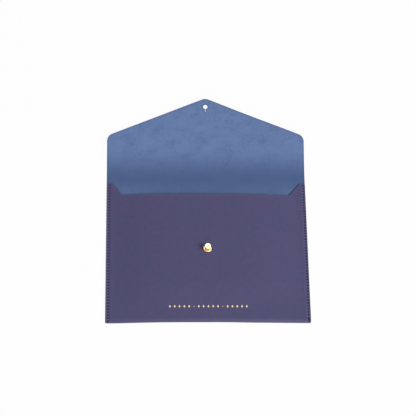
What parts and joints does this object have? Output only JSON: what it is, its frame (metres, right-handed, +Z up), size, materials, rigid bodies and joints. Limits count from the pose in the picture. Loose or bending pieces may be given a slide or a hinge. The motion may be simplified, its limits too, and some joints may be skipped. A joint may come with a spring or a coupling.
{
  "type": "mahjong card holder",
  "caption": "Flat leather pouch for a folded game card: stitched sides, scooped mouth between two ears, and a pointed flap that buttons over a ball stud.",
  "frame": {"origin": "centre of the pouch's flat back, on the surface that it lies on", "axes": "+X to the right across the front, +Y from the bottom fold towards the flap, +Z up out of the front"},
  "size_m": [0.228, 0.2679, 0.0162],
  "materials": {
    "navy_leather": "satin",
    "blue_suede": "matte",
    "navy_thread": "satin",
    "polished_brass": "polished",
    "gold_foil": "gloss"
  },
  "bodies": {
    "pouch": {"back_panel": "navy_leather", "back_lining": "blue_suede", "bottom_fold": "navy_leather", "bottom_fold_lining": "blue_suede", "front_panel": "navy_leather", "front_lining": "blue_suede", "flap_crease": "navy_leather", "flap_crease_lining": "blue_suede", "left_seam_thread": "navy_thread", "right_seam_thread": "navy_thread", "stud": "polished_brass", "stud_screw": "polished_brass", "foil_marks": "gold_foil"},
    "flap": {"flap_panel": "navy_leather", "flap_lining": "blue_suede"}
  },
  "joints": [
    {"name": "flap_hinge", "type": "hinge", "parent": "pouch", "child": "flap", "pos_m": [0, 0.08911, 0.00495], "axis": [1, 0, 0], "range_deg": [-6, 174], "deforming": ["flap_crease", "flap_crease_lining"]}
  ]
}
